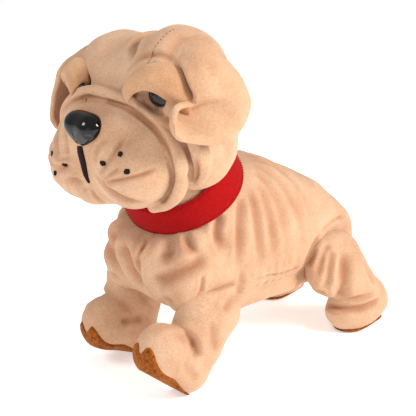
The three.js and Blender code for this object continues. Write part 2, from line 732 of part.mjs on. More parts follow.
// The torso is trimmed at the collar's lower edge, and the neck tube rises through the collar.
const wellPast = 120;                 // a size larger than anything it cuts
const neckThickness = 3;
const neckRoot = -26;                 // how far the neck tube reaches down into the torso
const aboveNeck = neckTube(wellPast, wellPast, -collarHalfWidth - gap, wellPast);
const neckSkin = neckTube(neckX, neckY, neckRoot, collarHalfWidth);
const neckHollow = neckTube(neckX - neckThickness, neckY - neckThickness, neckRoot - 14,
  collarHalfWidth + 20);

// Where the legs, the tail and the battery door pass through the skin, each box a margin over what
// passes: sideways, front to back, then up.
const legInside = 23;                 // the inner side of every leg's opening
const legOutside = 70;
const frontOpening = block(legInside, legOutside, -100, -12, 0, 77);
const rearOpening = block(legInside, legOutside, 30, 140, 0, 90);
const tailOpening = block(-16, 16, 112, 140, 0, 80);
const bellyOpening = block(-21, 21, -30, 62, 20, 66);
const legOpenings = [frontOpening, rearOpening].flatMap((opening) => [opening, mirrored(opening)]);
const frontSkirt = cut(torsoForm(0), aboveNeck);
const torsoSkin = cut(join(frontSkirt, neckSkin), torsoForm(pileThickness), neckHollow, bellyOpening,
  ...legOpenings, tailOpening);
piece('torso_plush', torsoSkin, plush);

export default puppy;
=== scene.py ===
"""A walking plush puppy: sewn velour skins, felt collar, brown paw pads and glossy plastic nose and eyes."""
import math
import bpy
import numpy as np
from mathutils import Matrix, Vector
from mathutils.bvhtree import BVHTree


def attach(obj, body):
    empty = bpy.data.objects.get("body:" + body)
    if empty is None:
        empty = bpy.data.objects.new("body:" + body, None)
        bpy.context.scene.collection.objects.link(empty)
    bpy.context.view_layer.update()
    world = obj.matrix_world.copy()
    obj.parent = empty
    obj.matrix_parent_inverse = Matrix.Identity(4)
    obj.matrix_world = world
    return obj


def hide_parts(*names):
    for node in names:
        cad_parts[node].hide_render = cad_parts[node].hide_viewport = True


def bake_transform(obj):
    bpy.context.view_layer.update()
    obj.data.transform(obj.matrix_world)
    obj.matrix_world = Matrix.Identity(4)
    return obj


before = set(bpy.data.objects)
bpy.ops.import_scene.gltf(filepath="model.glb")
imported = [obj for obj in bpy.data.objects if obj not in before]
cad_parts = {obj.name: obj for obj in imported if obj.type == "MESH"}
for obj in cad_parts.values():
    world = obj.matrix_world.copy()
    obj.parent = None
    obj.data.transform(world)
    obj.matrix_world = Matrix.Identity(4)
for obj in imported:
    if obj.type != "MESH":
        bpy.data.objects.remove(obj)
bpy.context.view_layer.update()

# Every length below is in millimetres; +X is the puppy's left, -Y its front and +Z up.
MM = 0.001
FAR_AWAY = 1000.0


# ---------------------------------------------------------------- soft forms

def smooth_min(first, second, blend):
    """The lesser of two distances, with the corner between them filled over the blend length."""
    if blend <= 0:
        return np.minimum(first, second)
    overlap = np.maximum(blend - np.abs(first - second), 0.0) / blend
    return np.minimum(first, second) - overlap * overlap * blend * 0.25


def turned_points(points, centre, degrees):
    """Points turned about an X axis through a centre given as (y, z); positive turns the front upward."""
    angle = math.radians(degrees)
    turned = points.copy()
    along = points[:, 1] - centre[0]
    above = points[:, 2] - centre[1]
    turned[:, 1] = centre[0] + along * math.cos(angle) + above * math.sin(angle)
    turned[:, 2] = centre[1] - along * math.sin(angle) + above * math.cos(angle)
    return turned


def ball(centre, radii, lean=0.0):
    """An ellipsoid, leaned about X by so many degrees."""
    centre = np.array(centre, float)
    radii = np.array(radii, float)

    def distance(points):
        local = turned_points(points, centre[1:], lean) - centre
        scaled = np.linalg.norm(local / radii, axis=1)
        slope = np.linalg.norm(local / radii ** 2, axis=1) + 1e-9
        return scaled * (scaled - 1.0) / slope
    return distance


def limb(start, end, start_radius, end_radius):
    """A round-ended limb that tapers from one radius to the other."""
    start = np.array(start, float)
    span = np.array(end, float) - start

    def distance(points):
        place = np.clip((points - start) @ span / (span @ span), 0.0, 1.0)
        gap = np.linalg.norm(points - start - place[:, None] * span, axis=1)
        return gap - (start_radius + place * (end_radius - start_radius))
    return distance


def smooth_path(points, per_span=6):
    """A smooth curve through a few points, which may carry further columns such as a radius."""
    points = np.asarray(points, float)
    before = 2 * points[0] - points[1]
    after = 2 * points[-1] - points[-2]
    guide = np.vstack([before, points, after])
    rows = []
    for i in range(len(points) - 1):
        a, b, c, d = guide[i:i + 4]
        for t in np.arange(per_span) / per_span:
            rows.append(0.5 * (2 * b + (c - a) * t + (2 * a - 5 * b + 4 * c - d) * t * t
                               + (3 * b - a - 3 * c + d) * t ** 3))
    rows.append(points[-1])
    return np.array(rows)


def along_path(points, path):
    """The distance from each point to a path, and the place of the nearest spot on it, from 0 to 1."""
    best = np.full(len(points), FAR_AWAY)
    place = np.zeros(len(points))
    for i in range(len(path) - 1):
        start = path[i, :3]
        span = path[i + 1, :3] - start
        t = np.clip((points - start) @ span / (span @ span), 0.0, 1.0)
        gap = np.linalg.norm(points - start - t[:, None] * span, axis=1)
        nearer = gap < best
        best[nearer] = gap[nearer]
        place[nearer] = (i + t[nearer]) / (len(path) - 1)
    return best, place


def roll(points):
    """A rolled fold of cloth along a curve; each point is (x, y, z, radius)."""
    path = smooth_path(points)
    places = np.linspace(0.0, 1.0, len(path))

    def distance(where):
        gap, place = along_path(where, path)
        return gap - np.interp(place, places, path[:, 3])
    return distance


def loft(stations, squareness):
    """A body along Y from stations of (y, centre height, half width, half height)."""
    rows = np.array(stations, float)

    def distance(points):
        centre, width, height = (np.interp(points[:, 1], rows[:, 0], rows[:, i]) for i in (1, 2, 3))
        width = np.maximum(width, 0.5)
        height = np.maximum(height, 0.5)
        across = (np.abs(points[:, 0]) / width) ** squareness
        up = (np.abs(points[:, 2] - centre) / height) ** squareness
        ring = ((across + up) ** (1.0 / squareness) - 1.0) * np.minimum(width, height)
        beyond = np.maximum(rows[0, 0] - points[:, 1], points[:, 1] - rows[-1, 0])
        return np.maximum(ring, beyond)
    return distance


def box(low, high, rounding=0.0):
    """A block between two corners, with rounded edges."""
    centre = (np.array(low, float) + np.array(high, float)) / 2
    half = (np.array(high, float) - np.array(low, float)) / 2 - rounding

    def distance(points):
        past = np.abs(points - centre) - half
        outside = np.linalg.norm(np.maximum(past, 0.0), axis=1)
        return outside + np.minimum(past.max(axis=1), 0.0) - rounding
    return distance


def mirrored(distance):
    """The same form on the other side of the puppy."""
    return lambda points: distance(points * np.array([-1.0, 1.0, 1.0]))


class Form:
    """A soft solid made of joined and carved parts, each with its own blend length."""

    def __init__(self):
        self.steps = []

    def join(self, distance, blend=6.0):
        self.steps.append((distance, blend, False))

    def join_pair(self, distance, blend=6.0):
        self.join(distance, blend)
        self.join(mirrored(distance), blend)

    def carve(self, distance, blend=1.0):
        self.steps.append((distance, blend, True))

    def __call__(self, points):
        value = np.full(len(points), FAR_AWAY)
        for distance, blend, carving in self.steps:
            if carving:
                value = -smooth_min(-value, distance(points), blend)
            else:
                value = smooth_min(value, distance(points), blend)
        return value


# ---------------------------------------------------------------- turning forms into meshes

COARSE = 4          # one coarse cell is this many fine cells
NEAR_SKIN = 9.0     # only places this close to the skin are worked out finely
EVENING = 0.6       # how far a vertex goes toward the middle of its neighbours in one round
SLOPE_REACH = 0.3   # the step over which a form's slope is measured
LEAST_STEEP = 0.2   # keeps a vertex from jumping where a form is nearly flat
FLAP_STEPS = 5      # rows of quads between two drawn rows of a flap


def grid_points(low, counts, step):
    axes = [low[i] + step * np.arange(counts[i]) for i in range(3)]
    return np.stack(np.meshgrid(*axes, indexing="ij"), axis=-1).reshape(-1, 3)


def sampled(form, low, high, step):
    """The form's distance on a grid, worked out finely only near the skin."""
    low = np.array(low, float)
    blocks = np.ceil((np.array(high, float) - low) / (step * COARSE)).astype(int) + 1
    rough = form(grid_points(low, blocks, step * COARSE)).reshape(blocks)
    values = rough.repeat(COARSE, 0).repeat(COARSE, 1).repeat(COARSE, 2)
    near = np.abs(values) < NEAR_SKIN + COARSE * step
    values[near] = form(grid_points(low, blocks * COARSE, step)[near.ravel()])
    return values, low


def net_surface(values, low, step):
    """One vertex in each grid cell that the skin crosses, and one quad over each crossed grid edge."""
    cells = np.array(values.shape) - 1
    total = np.zeros((*cells, 3))
    count = np.zeros(cells)
    crossings = []
    for axis in range(3):
        others = [i for i in range(3) if i != axis]
        here = np.take(values, range(cells[axis]), axis)
        there = np.take(values, range(1, cells[axis] + 1), axis)
        crossed = (here < 0) != (there < 0)
        place = np.where(crossed, here / np.where(crossed, here - there, 1.0), 0.0)
        crossings.append((crossed, here < 0))
        for first in (0, 1):
            for second in (0, 1):
                window = [slice(None)] * 3
                window[others[0]] = slice(first, first + cells[others[0]])
                window[others[1]] = slice(second, second + cells[others[1]])
                hit = crossed[tuple(window)]
                count += hit
                total[..., axis] += place[tuple(window)]
                total[..., others[0]] += hit * first
                total[..., others[1]] += hit * second
    used = np.argwhere(count > 0)
    index = np.full(cells, -1)
    index[tuple(used.T)] = np.arange(len(used))
    offsets = total[tuple(used.T)] / count[tuple(used.T)][:, None]
    vertices = low + step * (used + offsets)
    faces = []
    for axis, (crossed, inside) in enumerate(crossings):
        first, second = (i for i in range(3) if i != axis)
        spots = np.argwhere(crossed)
        keep = (spots[:, first] > 0) & (spots[:, second] > 0)
        keep &= (spots[:, first] < cells[first]) & (spots[:, second] < cells[second])
        spots = spots[keep]
        corners = []
        for back_first, back_second in ((1, 1), (0, 1), (0, 0), (1, 0)):
            corner = spots.copy()
            corner[:, first] -= back_first
            corner[:, second] -= back_second
            corners.append(index[tuple(corner.T)])
        quad = np.stack(corners, axis=1)
        flip = inside[tuple(spots.T)] == (axis == 1)
        quad[flip] = quad[flip][:, ::-1]
        faces.append(quad)
    return vertices, np.vstack(faces)


def evened(vertices, faces, form, rounds=3):
    """Vertices evened out over their neighbours and drawn back onto the skin."""
    starts = faces.ravel()
    ends = np.roll(faces, -1, axis=1).ravel()
    links = np.bincount(starts, minlength=len(vertices)) + np.bincount(ends, minlength=len(vertices))
    for _ in range(rounds):
        sums = [np.bincount(starts, vertices[ends, i], len(vertices))
                + np.bincount(ends, vertices[starts, i], len(vertices)) for i in range(3)]
        vertices = (1 - EVENING) * vertices + EVENING * np.stack(sums, axis=1) / links[:, None]
        value = form(vertices)
        ahead = [form(vertices + SLOPE_REACH * direction) - value for direction in np.eye(3)]
        slope = np.stack(ahead, axis=1) / SLOPE_REACH
        steep = np.maximum((slope ** 2).sum(axis=1), LEAST_STEEP)
        vertices = vertices - (value / steep)[:, None] * slope
    return vertices


def new_piece(name, vertices, faces, finish):
    """A smooth-shaded object from vertices in millimetres."""
    mesh = bpy.data.meshes.new(name)
    corners = [tuple(int(i) for i in face) for face in faces]
    mesh.from_pydata([tuple(v) for v in np.asarray(vertices, float) * MM], [], corners)
    mesh.validate()
    mesh.update()
    mesh.shade_smooth()
    piece = bpy.data.objects.new(name, mesh)
    bpy.context.collection.objects.link(piece)
    mesh.materials.append(finish)
    return piece


def settle(piece):
    """Make the result of a piece's modifiers its own mesh."""
    graph = bpy.context.evaluated_depsgraph_get()
    mesh = bpy.data.meshes.new_from_object(piece.evaluated_get(graph))
    old = piece.data
    piece.modifiers.clear()
    piece.data = mesh
    bpy.data.meshes.remove(old)
    mesh.name = piece.name
    mesh.shade_smooth()


def refine(piece):
    """Subdivide a piece smoothly, once."""
    modifier = piece.modifiers.new("refine", "SUBSURF")
    modifier.levels = 1
    settle(piece)


def skin(name, form, low, high, step, finish):
    """A closed skin over a form."""
    values, corner = sampled(form, low, high, step)
    vertices, faces = net_surface(values, corner, step)
    vertices = evened(vertices, faces, form)
    piece = new_piece(name, vertices, faces, finish)
    refine(piece)
    return piece


def sewn_flap(name, rows, thickness, finish):
    """A double-layer flap of cloth through rows of points, with a rolled edge."""
    across = [smooth_path(row, FLAP_STEPS) for row in rows]
    grid = np.array([smooth_path(column, FLAP_STEPS) for column in np.array(across).transpose(1, 0, 2)])
    columns, lengths = grid.shape[:2]
    faces = []
    for i in range(columns - 1):
        for j in range(lengths - 1):
            corner = i * lengths + j
            faces.append((corner, corner + lengths, corner + lengths + 1, corner + 1))
    piece = new_piece(name, grid.reshape(-1, 3), faces, finish)
    thicken = piece.modifiers.new("thicken", "SOLIDIFY")
    thicken.thickness = thickness * MM
    thicken.offset = 0.0
    thicken.use_even_offset = True
    settle(piece)
    refine(piece)
    return piece


def tube_along(paths, radius, sides=8):
    """Vertices and faces of round-ended threads along several short paths."""
    vertices = []
    faces = []
    for path in paths:
        path = np.asarray(path, float)
        start = len(vertices)
        heading = path[-1] - path[0]
        side = np.cross(heading, (0.3, 0.5, 0.8))
        side /= np.linalg.norm(side)
        over = np.cross(heading, side)
        over /= np.linalg.norm(over)
        swell = np.sin(np.linspace(0.12, 1.0 - 0.12, len(path)) * math.pi) ** 0.35
        for spot, size in zip(path, swell):
            for k in range(sides):
                angle = 2 * math.pi * k / sides
                vertices.append(spot + radius * size * (side * math.cos(angle) + over * math.sin(angle)))
        for i in range(len(path) - 1):
            for k in range(sides):
                a = start + i * sides + k
                b = start + i * sides + (k + 1) % sides
                faces.append((a, b, b + sides, a + sides))
        faces.append(tuple(start + k for k in reversed(range(sides))))
        faces.append(tuple(start + (len(path) - 1) * sides + k for k in range(sides)))
    return vertices, faces


# ---------------------------------------------------------------- working a skin

PAINTED_FOLD_SHADE = 0.52    # how far the deepest fold's colour goes toward its painted shade colour
DEEP_FOLD = 2.5     # a fold this deep takes the whole painted shade
LIP_PLACE = 1.9     # a fold's lips stand this many half widths from its middle
LUMP_WAVES = 9      # waves that make up the unevenness of the filling


class Sculpt:
    """Pushes a skin in and out along lines drawn on it, and keeps how deep each fold is for the shade painted
    into its colour.
    """

    def __init__(self, piece):
        self.piece = piece
        mesh = piece.data
        count = len(mesh.vertices)
        flat = np.empty(count * 3)
        mesh.vertices.foreach_get("co", flat)
        self.points = flat.reshape(-1, 3) / MM
        normals = np.empty(count * 3)
        mesh.vertices.foreach_get("normal", normals)
        self.normals = normals.reshape(-1, 3)
        self.push = np.zeros(count)
        # how much painted shade each vertex takes from the folds it lies in
        self.fold = np.zeros(count)

    def line(self, points, depth, width, lip=0.0, ends=(0.2, 0.2)):
        """A crease of a depth and half width, with raised lips beside it, fading at its two ends."""
        path = smooth_path(points)
        low = path.min(axis=0) - 4 * width
        high = path.max(axis=0) + 4 * width
        near = np.all((self.points > low) & (self.points < high), axis=1).nonzero()[0]
        gap, place = along_path(self.points[near], path)
        fade = np.ones(len(near))
        for along, end in ((place, ends[0]), (1.0 - place, ends[1])):
            if end > 0:
                fade *= np.clip(along / end, 0.0, 1.0)
        fade = fade * fade * (3 - 2 * fade)
        valley = np.exp(-(gap / width) ** 2) * fade
        ridge = np.exp(-((gap - LIP_PLACE * width) / width) ** 2) * fade
        self.push[near] += lip * ridge - depth * valley
        # a crease also paints shade into the colour, more the deeper it is
        if depth > 0:
            self.fold[near] = np.maximum(self.fold[near], valley * min(1.0, depth / DEEP_FOLD))

    def pair(self, points, depth, width, lip=0.0, ends=(0.2, 0.2), right=1.0):
        """The same crease on both sides, perhaps shallower on the right."""
        self.line(points, depth, width, lip, ends)
        other = np.array(points, float) * np.array([-1.0, 1.0, 1.0])
        self.line(other, depth * right, width, lip * right, ends)

    def lumps(self, height, length, seed):
        """Slight unevenness of the filling and the cut, of a height and a typical length."""
        rng = np.random.default_rng(seed)
        waves = np.zeros(len(self.points))
        for _ in range(LUMP_WAVES):
            heading = rng.normal(size=3)
            heading *= 2 * math.pi / (length * rng.uniform(0.7, 1.5) * np.linalg.norm(heading))
            waves += np.sin(self.points @ heading + rng.uniform(0, 2 * math.pi))
        self.push += height * waves / math.sqrt(LUMP_WAVES)

    def done(self):
        moved = (self.points + self.push[:, None] * self.normals) * MM
        mesh = self.piece.data
        mesh.vertices.foreach_set("co", moved.ravel())
        # the folds' painted shade goes to the velour as the fold attribute
        shade = mesh.attributes.new("fold", "FLOAT", "POINT")
        shade.data.foreach_set("value", (PAINTED_FOLD_SHADE * self.fold).astype(np.float32))
        mesh.update()


def surface_of(piece):
    """A lookup of a piece's surface, for laying things on it."""
    mesh = piece.data
    points = [v.co.copy() for v in mesh.vertices]
    return BVHTree.FromPolygons(points, [tuple(p.vertices) for p in mesh.polygons])


def laid_on(surface, point, lift=0.0):
    """The nearest spot of a surface to a point, lifted off it, with the surface's outward direction."""
    spot, normal, _, _ = surface.find_nearest(Vector(point) * MM)
    return np.array(spot) / MM + lift * np.array(normal), np.array(normal)


# ---------------------------------------------------------------- materials

def shade(hex_value):
    """An sRGB hex colour as linear RGBA."""
    channels = [int(hex_value[i:i + 2], 16) / 255 for i in (0, 2, 4)]
    linear = [c / 12.92 if c <= 0.04045 else ((c + 0.055) / 1.055) ** 2.4 for c in channels]
    return (*linear, 1.0)


def pattern_scale(size):
    """The scale of a noise pattern whose features are so many millimetres across."""
    return 1.0 / (size * MM)


def add_node(tree, kind, settings=None, links=None, stops=()):
    """Add one node with its settings, its links, and the (place, hex colour) stops of a colour ramp."""
    node = tree.nodes.new(kind)
    for key, value in (settings or {}).items():
        if isinstance(key, int) or key in node.inputs:
            node.inputs[key].default_value = value
        else:
            setattr(node, key, value)
    for key, source in (links or {}).items():
        tree.links.new(source, node.inputs[key])
    for i, (place, colour) in enumerate(stops):
        node.color_ramp.elements[i].position = place
        node.color_ramp.elements[i].color = shade(colour)
    return node


def new_material(name, settings):
    """A material with its shader's uniform settings, ready for its patterns."""
    material = bpy.data.materials.new(name)
    material.use_nodes = True
    tree = material.node_tree
    shader = tree.nodes["Principled BSDF"]
    for key, value in settings.items():
        shader.inputs[key].default_value = value
    place = add_node(tree, "ShaderNodeTexCoord").outputs["Object"]
    return material, tree, shader, place


def patterned(name, settings, mottle, stops, relief, grain=None, stretch=(1.0, 1.0, 1.0)):
    """A material whose colour runs over the stops by a mottled noise. Its relief is (strength, height in
    millimetres) of the same noise, or of a finer grain. Both may be stretched along the piece."""
    material, tree, shader, place = new_material(name, settings)
    spread = add_node(tree, "ShaderNodeMapping", {"Scale": stretch}, {"Vector": place}).outputs["Vector"]
    tone = add_node(tree, "ShaderNodeTexNoise", mottle, {"Vector": spread})
    colour = add_node(tree, "ShaderNodeValToRGB", {}, {"Fac": tone.outputs["Fac"]}, stops)
    tree.links.new(colour.outputs["Color"], shader.inputs["Base Color"])
    rise = add_node(tree, "ShaderNodeTexNoise", grain, {"Vector": spread}) if grain else tone
    bump = add_node(tree, "ShaderNodeBump", {"Strength": relief[0], "Distance": relief[1] * MM},
                    {"Height": rise.outputs["Fac"]})
    tree.links.new(bump.outputs["Normal"], shader.inputs["Normal"])
    return material


def velour(name, light, mid, fold_shade_colour):
    """Polyester velour: cut pile about 1.5 mm long, so it is matt with a soft sheen, and the brushed pile
    leaves paler and darker patches about 26 mm across. Deep folds are painted toward a darker, warmer colour
    as painted shade. The pile's tufts, about 0.4 mm wide, are drawn 1.1 mm and 3 mm across so that they show."""
    material, tree, shader, place = new_material(name, {
        "Roughness": 0.92, "IOR": 1.46, "Specular IOR Level": 0.25,
        "Sheen Weight": 0.35, "Sheen Roughness": 0.45, "Sheen Tint": shade("FFE9D2")})
    brushed = add_node(tree, "ShaderNodeTexNoise",
                       {"Scale": pattern_scale(26.3), "Detail": 3.0, "Roughness": 0.55}, {"Vector": place})
    patches = add_node(tree, "ShaderNodeValToRGB", {}, {"Fac": brushed.outputs["Fac"]},
                       ((0.33, mid), (0.62, light)))
    tufts = add_node(tree, "ShaderNodeTexNoise",
                     {"Scale": pattern_scale(1.11), "Detail": 4.0, "Roughness": 0.7}, {"Vector": place})
    speckle = add_node(tree, "ShaderNodeValToRGB", {}, {"Fac": tufts.outputs["Fac"]},
                       ((0.3, "B4B4B4"), (0.65, "FFFFFF")))
    # a colour mix takes its share at input 0 and its two colours at inputs 6 and 7
    pile = add_node(tree, "ShaderNodeMix", {"data_type": "RGBA", "blend_type": "MULTIPLY", 0: 0.5},
                    {6: patches.outputs["Color"], 7: speckle.outputs["Color"]})
    # painted shade: the fold attribute darkens the pile toward the fold shade colour in deep creases
    fold = add_node(tree, "ShaderNodeAttribute", {"attribute_name": "fold"})
    folded = add_node(tree, "ShaderNodeMix", {"data_type": "RGBA", 7: shade(fold_shade_colour)},
                      {0: fold.outputs["Fac"], 6: pile.outputs[2]})
    tree.links.new(folded.outputs[2], shader.inputs["Base Color"])
    clumps = add_node(tree, "ShaderNodeTexNoise",
                      {"Scale": pattern_scale(3.03), "Detail": 5.0, "Roughness": 0.75}, {"Vector": place})
    bump = add_node(tree, "ShaderNodeBump", {"Strength": 0.6, "Distance": 0.8 * MM},
                    {"Height": clumps.outputs["Fac"]})
    tree.links.new(bump.outputs["Normal"], shader.inputs["Normal"])
    return material


def felt(name, light, dark):
    """Pressed wool-polyester felt: matt, with short crossing fibres, drawn 1.6 mm across to show."""
    settings = {"Roughness": 0.95, "IOR": 1.46, "Specular IOR Level": 0.15,
                "Sheen Weight": 0.08, "Sheen Roughness": 0.6, "Sheen Tint": shade("FF9A90")}
    fibres = {"Scale": pattern_scale(1.61), "Detail": 6.0, "Roughness": 0.8, "Distortion": 1.2}
    return patterned(name, settings, fibres, ((0.35, dark), (0.62, light)), (0.4, 0.4))


def pad_cloth(name, light, dark):
    """Brushed pad cloth: a coarser tufted pile with tufts 2.4 mm across that catch light on their tips."""
    settings = {"Roughness": 0.9, "IOR": 1.46, "Specular IOR Level": 0.2,
                "Sheen Weight": 0.3, "Sheen Roughness": 0.4, "Sheen Tint": shade("FFC890")}
    tufts = {"Scale": pattern_scale(2.38), "Detail": 5.0, "Roughness": 0.75, "Distortion": 0.6}
    return patterned(name, settings, tufts, ((0.34, dark), (0.66, light)), (0.7, 1.0))


def plastic(name, light, dark, roughness):
    """Moulded plastic: even colour with a faint mottle 8 mm across, and the fine texture, 0.7 mm across,
    that a mould leaves."""
    return patterned(name, {"Roughness": roughness, "IOR": 1.45},
                     {"Scale": pattern_scale(8.33), "Detail": 2.0}, ((0.35, dark), (0.65, light)),
                     (0.04, 0.3), {"Scale": pattern_scale(0.667), "Detail": 2.0})


def metal(name, light, dark, roughness):
    """Turned or stamped metal: fully metallic, with drawing marks 25 mm long and 1.1 mm apart."""
    return patterned(name, {"Metallic": 1.0, "Roughness": roughness}, {"Scale": 1.0, "Detail": 3.0},
                     ((0.35, dark), (0.65, light)), (0.08, 0.2),
                     stretch=(pattern_scale(25.0), pattern_scale(1.11), pattern_scale(1.11)))


# each velour's last colour is the painted shade of its deep folds
PLUSH = velour("plush_velour", "DAB292", "CC9F7D", "9C562E")
EAR_PLUSH = velour("ear_velour", "D8AE8C", "C79874", "9C562E")
HOOD_PLUSH = velour("brow_velour", "D3A680", "C08C66", "8E4A26")
COLLAR_FELT = felt("collar_felt", "AE080C", "820406")
PAD = pad_cloth("pad_brushed_cloth", "B0621C", "5E2807")
GLOSS = plastic("gloss_black_polystyrene", "060607", "030304", 0.07)
BLACK_THREAD = felt("embroidery_thread_black", "2A2425", "0C0A0B")
RED_THREAD = felt("stitching_thread_red", "A80C0E", "7A0405")
TAN_THREAD = felt("stitching_thread_brown", "8C5F40", "5E3A22")
CASE = plastic("case_abs_cream", "E9E4D6", "E0DACB", 0.45)
DARK_PLASTIC = plastic("dark_abs", "1C1C1E", "161618", 0.4)
GEAR_PLASTIC = plastic("gear_acetal", "E8E6DE", "DEDBD1", 0.35)
BOARD = plastic("circuit_board_laminate", "1F5B35", "194B2C", 0.4)
CELL = plastic("battery_sleeve", "1C3F7A", "173567", 0.3)
STEEL = metal("zinc_plated_steel", "C9CBCE", "A9ACB0", 0.3)
BRASS = metal("spring_brass", "D8B45C", "B8923E", 0.32)


# ---------------------------------------------------------------- camera, light and floor

def aim(thing, spot):
    """Turn a camera or a light toward a spot."""
    spot = Vector(spot) * MM
    thing.rotation_euler = (spot - thing.location).to_track_quat("-Z", "Y").to_euler()


CAMERA_PLACE = (702.7, -653.7, 450.6)
CAMERA_TARGET = (6.9, -19.8, 112.6)
LIGHT_TARGET = (0.0, 0.0, 110.0)


def add_camera():
    """A long lens from the puppy's front left, a little above it."""
    camera = bpy.data.objects.new("camera", bpy.data.cameras.new("camera"))
    camera.data.sensor_width = 36.0
    camera.data.lens = 125.4
    camera.location = Vector(CAMERA_PLACE) * MM
    bpy.context.collection.objects.link(camera)
    aim(camera, CAMERA_TARGET)
    bpy.context.scene.camera = camera
    bpy.context.scene.view_settings.view_transform = "Standard"


def add_light(name, place, power, size, colour):
    """A square soft light of a power in watts, turned toward the puppy."""
    lamp = bpy.data.lights.new(name, "AREA")
    lamp.energy = power
    lamp.size = size * MM
    lamp.color = shade(colour)[:3]
    light = bpy.data.objects.new(name, lamp)
    light.location = Vector(place) * MM
    bpy.context.collection.objects.link(light)
    aim(light, LIGHT_TARGET)


def add_floor():
    """A plain pale floor, far larger than the puppy."""
    reach = 4000.0
    under = -0.3    # just below the ground plane, so that the soles don't flicker with it
    corners = [(-reach, -reach, under), (reach, -reach, under), (reach, reach, under), (-reach, reach, under)]
    material, tree, shader, place = new_material("studio_floor", {
        "Roughness": 0.9, "Specular IOR Level": 0.1,
        "Emission Color": shade("FFFFFF"), "Emission Strength": 0.45})
    tone = add_node(tree, "ShaderNodeTexNoise", {"Scale": pattern_scale(333.0)}, {"Vector": place})
    colour = add_node(tree, "ShaderNodeValToRGB", {}, {"Fac": tone.outputs["Fac"]},
                      ((0.3, "FBFBFA"), (0.7, "FEFEFE")))
    tree.links.new(colour.outputs["Color"], shader.inputs["Base Color"])
    new_piece("floor", corners, [(0, 1, 2, 3)], material)


def light_the_studio():
    """A pale world and three soft lights: the strongest from the puppy's left and above."""
    world = bpy.data.worlds.new("studio")
    world.use_nodes = True
    backdrop = world.node_tree.nodes["Background"]
    backdrop.inputs["Color"].default_value = shade("FFFFFF")
    backdrop.inputs["Strength"].default_value = 0.46
    bpy.context.scene.world = world
    add_light("key", (900.0, 350.0, 750.0), 13.2, 380.0, "FFFAF4")
    add_light("front", (-200.0, -900.0, 850.0), 4.8, 350.0, "FFFFFF")
    add_light("low_fill", (500.0, -800.0, 200.0), 0.3, 500.0, "FFFFFF")


add_camera()
add_floor()
light_the_studio()


# ---------------------------------------------------------------- head

def head_form():
    """Skull with two forehead bumps, cheeks, and a large muzzle edged by a rolled ring."""
    form = Form()
    form.join(ball((0, -60, 192), (54, 42, 48)))
    form.join(ball((27, -63, 212), (32, 35, 38)), 7)
    form.join(ball((-27, -64, 206), (31, 34, 32)), 4)
    form.join_pair(ball((36, -54, 174), (19, 30, 32)), 12)
    form.carve(ball((34, -96, 208), (12, 10, 9)), 4)
    form.carve(ball((-34, -96, 208), (12, 10, 9)), 4)
    fold = [(46, -80, 190, 5), (55, -72, 178, 6.5), (56, -68, 165, 6), (51, -68, 155, 4)]
    form.join_pair(roll(fold), 3)
    near_ring = [(-4, -103, 208, 5), (10, -100, 208, 5), (24, -95, 202, 5), (37, -90, 191, 5),
                 (47, -87, 178, 5), (51, -84, 164, 5), (49, -84, 151, 5),
                 (41, -86, 141, 4.5), (30, -88, 136, 4)]
    far_ring = [(4, -102, 208, 5), (-10, -104, 208, 5), (-24, -105, 201, 5), (-37, -103, 190, 5),
                (-46, -98, 176, 5), (-50, -91, 162, 5), (-48, -86, 150, 5), (-40, -86, 141, 4.5)]
    form.join(roll(near_ring), 1.5)
    form.join(roll(far_ring), 1.5)
    pad = Form()
    pad.join(ball((0, -90, 181), (42, 33, 26)))
    pad.join_pair(ball((23, -95, 163), (25, 28, 27)), 10)
    pad.join(limb((0, -104, 170), (0, -106, 158), 16, 15), 8)
    pad.join(ball((-22, -98, 157), (26, 26, 26)), 6)
    pad.join(ball((-3, -109, 145), (15, 12, 10)), 4)
    pad.join(ball((0, -96, 142), (18, 17, 8)), 4)
    form.join(pad, 0.8)
    return form


def make_head():
    piece = skin("head_skin", head_form(), (-72, -132, 126), (72, -4, 256), 1.5, PLUSH)
    work = Sculpt(piece)
    crease_head(work)
    work.lumps(0.35, 26, 5)
    work.done()
    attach(piece, "head")
    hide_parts("head_plush", "muzzle_plush", "head_stuffing")
    return piece


